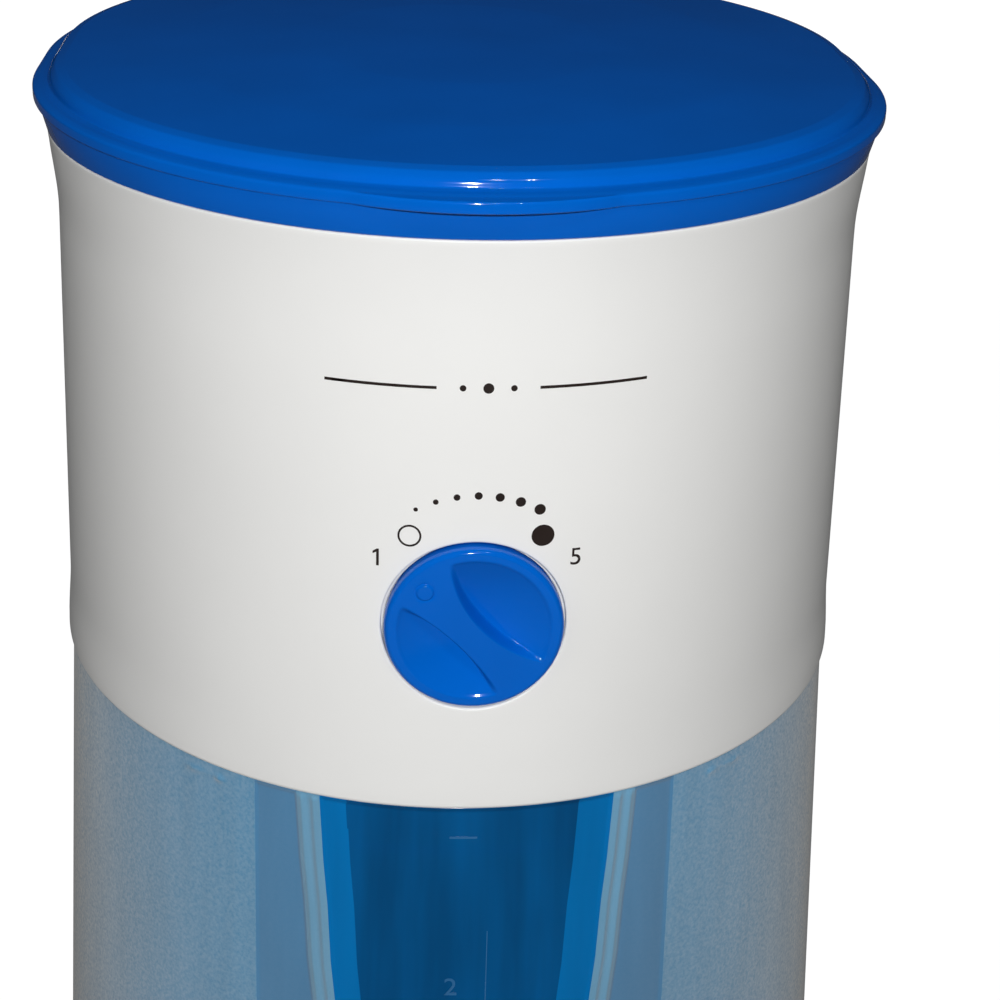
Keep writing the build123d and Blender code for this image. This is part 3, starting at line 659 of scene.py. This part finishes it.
def knob_height(x, z):
    """Height of the dial's face above its rim plane (mm, negative is deeper)."""
    r = np.hypot(x, z)
    du = GU[1] - np.hypot(x - GU[0][0], z - GU[0][1])       # > 0 inside the upper-right scoop
    dl = GL[1] - np.hypot(x - GL[0][0], z - GL[0][1])
    h = np.zeros_like(x)
    # both scoops are one shallow dish cut down beside the grip; it runs out softly at the rim
    dish = 4.15 * np.clip(1 - (r / 15.3) ** 2, 0, None) ** 1.05
    dish = dish * smooth((15.6 - r) / 1.2)
    h -= dish * smooth(du / 1.25 + 0.08)
    h -= dish * 0.97 * smooth(dl / 1.25 + 0.08)
    # slight crown and a rounded shoulder
    h += 0.2 * (1 - (r / KNOB_R) ** 2)
    sh = np.clip((r - (KNOB_R - 1.15)) / 1.15, 0, 1)
    h -= 1.5 * (1 - np.sqrt(np.clip(1 - sh ** 2, 0, 1)))
    # pointer boss on the grip's upper-left end, with a fine line round it
    q = np.hypot(x + 9.6, z - 8.4)
    h += 0.3 * (1 - smooth((q - 1.45) / 0.25)) - 0.12 * np.exp(-((q - 1.85) / 0.16) ** 2)
    return h


na, nr = 480, 140
ta = np.linspace(0, 2 * math.pi, na, endpoint=False)
rr = np.r_[np.linspace(0.12, KNOB_R - 1.3, nr), KNOB_R - 1.15 * np.cos(np.linspace(0.0, math.pi / 2, 22))]
X = rr[:, None] * np.cos(ta)[None, :]; Zk = rr[:, None] * np.sin(ta)[None, :]
Hh = knob_height(X, Zk)
face_y = KNOB_FACE
kv = np.stack([X, face_y - Hh, Zk + KNOB_Z], -1).reshape(-1, 3)
kf = grid_faces(len(rr), na)
kf.append(tuple(range(na)))
kv = list(kv); last = [(len(rr) - 1) * na + i for i in range(na)]
for rad, y in ((KNOB_R, -94.0), (KNOB_R - 0.3, -93.15), (KNOB_R - 0.6, -93.0), (3.0, -93.0), (3.0, -88.4), (2.8, -88.2), (1.5, -88.2), (1.5, -93.4)):
    base = len(kv); kv += list(np.stack([rad * np.cos(ta), np.full(na, y), KNOB_Z + rad * np.sin(ta)], -1)); cur = list(range(base, base + na))
    for i in range(na):
        kf.append((last[i], last[(i + 1) % na], cur[(i + 1) % na], cur[i]))
    last = cur
kf.append(tuple(last))
KNOB = make("dial_knob", np.array(kv), kf, 60, mats=[M_BLUE])
put(KNOB, "strength_dial", ["strength_knob"])


# --------------------------------------------------------------------- pitcher
XF = 52.0
PAINTED_STRIP_L, PAINTED_STRIP_R = 5.4, 7.2                 # painted highlight strips inside the window's edge: a brighter blue standing in for light refracted through its bevel, wider on the right


def front_knots():
    """Column groups across the front: (index of column, kind) from the middle outward, and how many columns each has."""
    return [("w", 90), ("s", 22), ("r", 30), ("b", 34), ("o", 40)]


def front_x(z, right=True):
    """x of every front column at height z, one half, from the middle outward."""
    w = float(np.interp(max(z, 62.0), ZW, WW)); be = float(band_edge(z))
    marks = [0.0, w - (PAINTED_STRIP_R if right else PAINTED_STRIP_L), w, w + 4.7, be, XF]
    x = [0.0]
    for (k, n), a, b in zip(front_knots(), marks[:-1], marks[1:]):
        x += list(np.linspace(a, b, n + 1)[1:])
    return np.array(x)


def pit_cols(n_side=70, n_fil=10, n_back=40):
    nf = sum(n for _, n in front_knots())
    c = [("f", i) for i in range(-nf, nf + 1)]
    c += [("s", t) for t in np.linspace(0, 1, n_side + 1)[1:]]
    c += [("k", t) for t in np.linspace(0, 1, n_fil + 1)[1:]]
    c += [("b", t) for t in np.linspace(0, 1, n_back + 1)[1:-1]]
    c += [("K", t) for t in np.linspace(0, 1, n_fil + 1)[:]]
    c += [("S", t) for t in np.linspace(0, 1, n_side + 1)[1:-1]]
    return c


def pit_ring(r, back, fr, cols, z):
    """Outline points at plan radius r, right-hand side first after the front."""
    xc = math.sqrt((r - fr) ** 2 - (back - fr - H) ** 2)
    at = math.atan2(back - fr - H, xc)
    a0 = -math.acos(XF / r)                                  # front part ends here (angle below 0)
    L1, L2, L3 = r * (0 - a0), 2 * H, r * at
    fx = {1: front_x(z, True), -1: front_x(z, False)}
    out = []

    def side(t):
        s = t * (L1 + L2 + L3)
        if s <= L1:
            a = a0 + s / r
            return r * math.cos(a), -H + r * math.sin(a)
        if s <= L1 + L2:
            return r, -H + (s - L1)
        a = (s - L1 - L2) / r
        return r * math.cos(a), H + r * math.sin(a)

    for k, t in cols:
        if k == "f":
            x = math.copysign(fx[1 if t >= 0 else -1][abs(t)], t); out.append((x, -H - math.sqrt(r * r - x * x)))
        elif k == "s":
            out.append(side(t))
        elif k == "k":
            a = at + (math.pi / 2 - at) * t
            out.append((xc + fr * math.cos(a), back - fr + fr * math.sin(a)))
        elif k == "b":
            out.append((xc - 2 * xc * t, back))
        elif k == "K":
            a = math.pi / 2 + (math.pi / 2 - at) * t
            out.append((-xc + fr * math.cos(a), back - fr + fr * math.sin(a)))
        else:
            x, y = side(1 - t); out.append((-x, y))
    return np.array(out)


ZW = np.array([24, 38, 44, 52, 60, 66, 78, 90, 101, 112, 126, 136.5, 151.0])
WW = np.array([20.0, 22.5, 22.5, 22.5, 22.5, 22.5, 24.3, 25.8, 26.9, 27.9, 28.5, 29.3, 30.0])


def window_edge(x, z):
    """Signed distance (mm) outward from the polished window's edge."""
    w = np.interp(z, ZW, WW)
    e = np.abs(x) - w
    zc, hh, w0 = 62.0, 26.0, float(np.interp(62.0, ZW, WW))
    rho_ = np.sqrt((x / w0) ** 2 + (np.clip(zc - z, 0, None) / hh) ** 2)
    g = np.sqrt((x / w0 ** 2) ** 2 + ((zc - z) / hh ** 2) ** 2) / np.maximum(rho_, 1e-6)
    low = (rho_ - 1) / np.maximum(g, 1e-6)
    return np.where(z >= zc, e, low)


def band_edge(z):
    z = np.asarray(z, float)
    return 35.0 + (43.3 + (151.0 - z) * 0.012 - 35.0) * smooth((z - 60.0) / 38.0)


# raised marks of the litre-like scale: (x, z, half width, half height)
SCALE = [(-0.9, 144.6, 2.8, 0.2)] + [(-0.9, z, 2.8, 0.2) for z in (103.6, 62.6)] + [(-0.9, z, 1.6, 0.16) for z in (93.3, 83.1, 72.8, 52.3)]


def pit_relief(x, z, front):
    """Outward relief of the pitcher's front."""
    e = window_edge(x, z)
    up_ = smooth((151.6 - z) / 1.0) * smooth((z - 30.5) / 2.0)
    win = smooth((-e) / 0.7)
    ribs = 0.55 * np.exp(-((e - 1.15) / 0.72) ** 2) + 0.5 * np.exp(-((e - 3.6) / 0.72) ** 2)
    edge = np.where(z > 62, band_edge(z) - np.abs(x), np.minimum(band_edge(z) - np.abs(x), 12.5 - e))
    band = smooth((e - 4.7) / 0.5) * smooth(edge / 0.5)
    d = (-0.45 * win + ribs - 0.32 * band) * up_
    # four little nubs under the rim
    for nx in (-56.3, -50.8, 52.4, 57.5):
        d = d + 0.5 * np.exp(-(((x - nx) / 0.9) ** 2 + ((z - 149.0) / 0.6) ** 2))
    return np.where(front, d, 0)


cols_ = pit_cols()
isf = np.array([k in "fsS" for k, t in cols_])
zrow = np.unique(np.round(np.r_[24.2, 24.35, 24.7, 25.3, 26.2, np.linspace(27.5, 148.0, 150), 148.6, 149.0, 149.4, 149.8, 150.2, 150.6, 151.0, 151.5, 151.6, 151.7, 151.8, 151.85], 4))
PV = []
for z in zrow:
    foot = 1.6 * (1 - math.sqrt(max(0.0, 1 - max(0.0, (26.2 - z) / 2.0) ** 2)))
    lip = 0.25 * (1 - math.sqrt(max(0.0, 1 - max(0.0, (z - 151.6) / 0.25) ** 2)))
    rz = float(r_pit(z))
    o = pit_ring(rz, PIT_BACK, 12.0, cols_, z)
    d = pit_relief(o[:, 0], np.full(len(o), z), isf & (o[:, 1] < -20))
    nrm = np.stack([o[:, 0], np.where(o[:, 1] < -H, o[:, 1] + H, 0)], -1); nrm /= np.maximum(np.linalg.norm(nrm, axis=1), 1e-9)[:, None]
    if foot > 0 or lip > 0:
        o = pit_ring(rz - foot - lip, PIT_BACK - foot - lip, 12.0 - foot - lip, cols_, z)
    PV.append(np.c_[o + nrm * d[:, None], np.full(len(o), z)])
n_out = len(PV)
# inner wall, from rim down to the floor
zin = [151.85, 151.7, 151.3, 149.0, 141.0, 138.6, 138.59, 136.0, 135.99, 130.0, 110.0, 90, 70, 50, 34.0, 30.5, 28.6, 27.6, 27.2]
for z in zin:
    t = 2.6
    if 136.0 <= z <= 138.6: t = 4.6
    rf = 0.0
    if z < 30.2: rf = 3.0 * (1 - math.sqrt(max(0.0, 1 - ((30.2 - z) / 3.0) ** 2)))
    if z > 151.4: t = 2.6 - 0.3 * (z - 151.4) / 0.45
    o = pit_ring(float(r_pit(z)) - t - rf, PIT_BACK - t - rf, max(12.0 - t - rf, 2.0), cols_, z)
    PV.append(np.c_[o, np.full(len(o), z)])
PV = np.array(PV); nrow, ncol = PV.shape[:2]
faces = grid_faces(nrow, ncol, True, False)
mid = (PV[:-1] + PV[1:] + np.roll(PV, -1, 1)[:-1] + np.roll(PV, -1, 1)[1:]) / 4
mx_, my_, mz_ = mid[..., 0], mid[..., 1], mid[..., 2]
we = window_edge(mx_, mz_)
kind = np.zeros(mid.shape[:2], int)                          # 0 frost, 1 band, 2 rib, 3 window, 4 window edge with painted highlight, 5 inside
kind[(we > 4.7) & (np.abs(mx_) < band_edge(mz_)) & ((mz_ > 62) | (we < 12.5))] = 1
kind[(we > 0) & (we <= 4.7)] = 2
# width of the painted-highlight strips on each side of the window
sw = np.where(mx_ > 0, PAINTED_STRIP_R, PAINTED_STRIP_L)
kind[(we <= 0) & (we > -sw)] = 4
kind[we <= -sw] = 3
kind[(my_ > -20) | (mz_ < 31.0) | (mz_ > 151.75)] = 0
kind[n_out - 1:] = 5
faces.append(tuple(range(ncol))); faces.append(tuple(range((nrow - 1) * ncol, nrow * ncol)))
me = bpy.data.meshes.new("pitcher_body")
me.from_pydata((PV.reshape(-1, 3) * MM).tolist(), [], faces)
me.materials.clear()
for q in (M_FROST, M_BAND, M_RIB, M_WIN, M_EDGE_PAINTED, M_IN):
    me.materials.append(q)
me.polygons.foreach_set("material_index", np.r_[kind.reshape(-1), 0, 5].astype(np.int32))
bm = bmesh.new(); bm.from_mesh(me); bmesh.ops.recalc_face_normals(bm, faces=bm.faces); bm.to_mesh(me); bm.free()
me.shade_smooth(); me.set_sharp_from_angle(angle=math.radians(50))
PITCH = bpy.data.objects.new("pitcher_body", me); bpy.context.scene.collection.objects.link(PITCH)
put(PITCH, "pitcher", ["pitcher"])


def pit_pt(x, z, off=0.0):
    """Point on the window's recessed face, moved out by off."""
    x, z = np.asarray(x, float), np.asarray(z, float)
    r = r_pit(z) - 0.45 + off
    return np.stack([x, -H - np.sqrt(np.clip(r * r - x * x, 0, None)), z], -1)


marks = []
for x, z, hw, hh in SCALE:
    marks += strip(x - hw, z, x + hw, z, 2 * hh, 1.4)
marks += [[[(4.4, z), (4.6, z), (4.6, z + 4.0), (4.4, z + 4.0)]] for z in np.arange(50.0, 120.0, 4.0)]
marks += [digit("2", -2.9, 108.4, 4.2)]
marks += [digit("1", -2.7, 67.4, 4.3)]
print_piece("pitcher_scale", marks, pit_pt, thick=0.12, mat=M_MARK, body="pitcher")

# -------------------------------------------------------------- pitcher handle
line = dense(fillet([(37.4, 131.0), (64.6, 131.0, 13.0), (64.6, 55.0, 13.0), (37.4, 55.0)], n=14), 2.0)
tg = np.gradient(line, axis=0); tg /= np.linalg.norm(tg, axis=1)[:, None]
nr_ = np.stack([tg[:, 1], -tg[:, 0]], -1)
# the arms are deep at the pitcher's wall and slim at the grip, whose inner side swells under the fingers
grow = smooth((46.0 - line[:, 0]) / 9.0)
swell = np.where(line[:, 0] > 64.0, 0.6 * np.sin(np.clip((line[:, 1] - 62.0) / 62.0, 0, 1) * math.pi), 0.0)
hv = []
for (py, pz), (ny, nz), g_, sw_ in zip(line, nr_, grow, swell):
    for w_ in np.linspace(0, 2 * math.pi, 40, endpoint=False):
        cu_, su_ = math.cos(w_), math.sin(w_)
        ex = math.copysign(abs(cu_) ** 0.62, cu_) * 8.9
        et = math.copysign(abs(su_) ** 0.62, su_) * (5.3 + 1.5 * g_ + (sw_ if su_ * (ny * -1) > 0 else 0.0))
        hv.append((ex, py + ny * et, pz + nz * et))
hf = grid_faces(len(line), 40) + [tuple(range(40)), tuple(range((len(line) - 1) * 40, len(line) * 40))]
HANDLE = make("handle_grip", np.array(hv), hf, 50, mats=[M_BLUE_T])
put(HANDLE, "pitcher", ["pitcher_handle"])

# --------------------------------------------------------------- button spring
BTN_Z, TURNS, WIRE = 13.5, 3.6, 0.36
steps = int(TURNS * 40)
tt = np.linspace(0, 1, steps + 1)
turn_ = 2 * math.pi * TURNS * tt
sy = -100.2 + WIRE + (5.0 - 2 * WIRE) * np.clip((tt * TURNS - 0.6) / (TURNS - 1.2), 0, 1)
rad_ = np.full_like(tt, 3.7)
core = np.stack([rad_ * np.cos(turn_), sy, BTN_Z + rad_ * np.sin(turn_)], -1)
tang = np.gradient(core, axis=0); tang /= np.linalg.norm(tang, axis=1)[:, None]
outw = np.stack([np.cos(turn_), np.zeros_like(turn_), np.sin(turn_)], -1)
side_ = np.cross(tang, outw); side_ /= np.linalg.norm(side_, axis=1)[:, None]
wa = np.linspace(0, 2 * math.pi, 14, endpoint=False)
sv = (core[:, None, :] + WIRE * (np.cos(wa)[None, :, None] * outw[:, None, :] + np.sin(wa)[None, :, None] * side_[:, None, :])).reshape(-1, 3)
sv[:, 1] = np.clip(sv[:, 1], -100.2, -95.2)
sf = grid_faces(len(core), 14) + [tuple(range(14)), tuple(range((len(core) - 1) * 14, len(core) * 14))]
SPRING = make("button_coil", sv, sf, 60, mats=[M_STEEL])
put(SPRING, "chassis", ["button_spring"])
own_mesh(SPRING)

# ------------------------------------------------------- carried-over CAD nodes
for n, mt in {"water_tank": M_TANK, "tank_screen": M_TANK, "riser_tube": M_TANK, "shower_arm": M_TANK, "brew_basket": M_BASKET, "tea_screen": M_STEEL, "hinge_pin": M_STEEL,
              "basket_valve_seat": M_SIL, "shaft_seal": M_SIL, "detent_spring": M_STEEL, "tower_screws": M_STEEL, "base_screws": M_STEEL, "heater_block": M_ALU,
              "heater_bracket": M_STEEL, "thermostat": M_STEEL, "thermal_fuse": M_TANK, "feed_hose": M_SIL, "check_valve": M_TANK, "inlet_hose": M_SIL, "outlet_hose": M_SIL,
              "base_cover": M_DARK, "rubber_feet": M_RUB, "cord_gland": M_DARK, "switch_body": M_DARK, "switch_bracket": M_DARK, "indicator_lens": M_LENS,
              "terminal_block": M_DARK, "button_spring": M_STEEL, "knob_shaft": M_TANK, "flow_shutter": M_TANK, "pitcher_lid": M_BLUE_T,
              "tower_shell": M_BLUE_T, "rear_cover": M_BLUE_T, "base_shell": M_WHITE, "power_button": M_BLUE}.items():
    o = NODES[n]
    o.data.materials.clear(); o.data.materials.append(mt)

# ------------------------------------------------------------ floor, light, air
def stage_floor():
    m, nt, N, L = tree("pale_floor")
    out = N.new("ShaderNodeOutputMaterial")
    lp = N.new("ShaderNodeLightPath")
    tc = N.new("ShaderNodeTexCoord").outputs["Object"]
    nz = noise(nt, 3.0, 2.0, 0.5, tc)
    near = N.new("ShaderNodeBsdfDiffuse")
    L.new(ramp(nt, nz.outputs["Fac"], 0.3, 0.7, (0.10, 0.10, 0.10), (0.12, 0.12, 0.12)).outputs["Color"], near.inputs["Color"])
    em = N.new("ShaderNodeEmission"); em.inputs["Strength"].default_value = 0.96
    ad = N.new("ShaderNodeAddShader"); L.new(near.outputs[0], ad.inputs[0]); L.new(em.outputs[0], ad.inputs[1])
    far = N.new("ShaderNodeBsdfDiffuse"); far.inputs["Color"].default_value = (0.12, 0.12, 0.12, 1)
    mx = N.new("ShaderNodeMixShader"); L.new(lp.outputs["Is Camera Ray"], mx.inputs[0]); L.new(far.outputs[0], mx.inputs[1]); L.new(ad.outputs[0], mx.inputs[2])
    L.new(mx.outputs[0], out.inputs["Surface"])
    me = bpy.data.meshes.new("floor")
    bm = bmesh.new(); bmesh.ops.create_grid(bm, x_segments=8, y_segments=8, size=6.0); bm.to_mesh(me); bm.free()
    ob = bpy.data.objects.new("floor", me); ob.location.z = -0.0002
    bpy.context.scene.collection.objects.link(ob); me.materials.append(m)


stage_floor()
world = bpy.data.worlds.new("studio"); bpy.context.scene.world = world; world.use_nodes = True
nt = world.node_tree; nt.nodes.clear()
wo = nt.nodes.new("ShaderNodeOutputWorld"); bg = nt.nodes.new("ShaderNodeBackground"); bg2 = nt.nodes.new("ShaderNodeBackground")
lp = nt.nodes.new("ShaderNodeLightPath"); mx = nt.nodes.new("ShaderNodeMixShader")
bg.inputs["Color"].default_value = (0.95, 0.97, 1.0, 1); bg.inputs["Strength"].default_value = 0.012
bg2.inputs["Color"].default_value = (1, 1, 1, 1); bg2.inputs["Strength"].default_value = 1.0
nt.links.new(lp.outputs["Is Camera Ray"], mx.inputs[0]); nt.links.new(bg.outputs[0], mx.inputs[1]); nt.links.new(bg2.outputs[0], mx.inputs[2]); nt.links.new(mx.outputs[0], wo.inputs["Surface"])


def area(name, pos, aim, size, power, col=(1, 1, 1), gloss=True):
    l = bpy.data.lights.new(name, "AREA"); l.shape = "DISK"; l.size = size; l.energy = power; l.color = col
    o = bpy.data.objects.new(name, l); bpy.context.scene.collection.objects.link(o)
    o.location = pos
    o.rotation_mode = "QUATERNION"; o.rotation_quaternion = (Vector(aim) - Vector(pos)).to_track_quat("-Z", "Y")
    o.visible_glossy = gloss
    return o


back = -FW
area("key", CAM + back * 0.40 + R2 * 0.05 + U2 * 0.0, (0, -0.03, 0.19), 0.03, 5.25)
area("fill_left", CAM + back * 0.1 - R2 * 0.45 + U2 * 0.05, (0, -0.03, 0.2), 0.5, 0.46, gloss=False)
area("spot_a", CAM + back * 0.40 + R2 * 0.14 + U2 * 0.40, (0, -0.09, 0.25), 0.02, 0.45)
area("spot_b", CAM + back * 0.40 + R2 * 0.26 + U2 * 0.40, (0, -0.09, 0.25), 0.02, 0.45)
area("back_high", (0.0, 1.3, 1.45), (0, 0, 0.22), 0.7, 5.2, gloss=False)
area("side_left", (-1.6, 0.9, 0.8), (0, 0, 0.15), 0.6, 1.0, gloss=False)
area("side_right", (1.6, 0.9, 0.8), (0, 0, 0.15), 0.6, 0.3, gloss=False)
area("rear_left", (-0.55, 1.9, 0.32), (0, 0, 0.15), 0.5, 11.0, gloss=False)
area("rear_right", (0.55, 1.9, 0.32), (0, 0, 0.15), 0.5, 7.5, gloss=False)

bpy.context.scene.view_settings.view_transform = "Standard"
bpy.context.scene.view_settings.look = "None"
